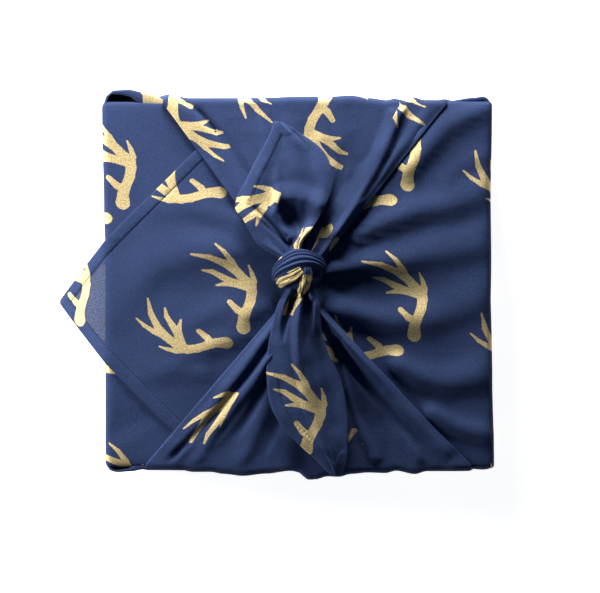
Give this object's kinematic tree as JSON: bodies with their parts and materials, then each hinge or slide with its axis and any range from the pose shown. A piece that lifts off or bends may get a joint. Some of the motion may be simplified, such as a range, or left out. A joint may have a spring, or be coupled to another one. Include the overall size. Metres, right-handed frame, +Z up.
{
  "type": "furoshiki wrap with gift box",
  "caption": "Square cotton wrapping cloth folded and knotted round a flat gift box, with short tied ends and a corner that hangs over one edge.",
  "frame": {"origin": "middle of the gift box's plan, on the cloth's underside, where the parcel rests", "axes": "+Z up out of the knotted side; +X towards the side whose cloth corner lies on top, so -X is the side that this corner overhangs; +Y towards the shorter tied end"},
  "size_m": [0.294, 0.2613, 0.0863],
  "materials": {
    "navy_cotton": "fine plain-weave cotton, navy with a gold print, matt",
    "card": "plain brown card, matt"
  },
  "bodies": {
    "root": {"cloth": "navy_cotton", "gift_box": "card"}
  },
  "joints": []
}
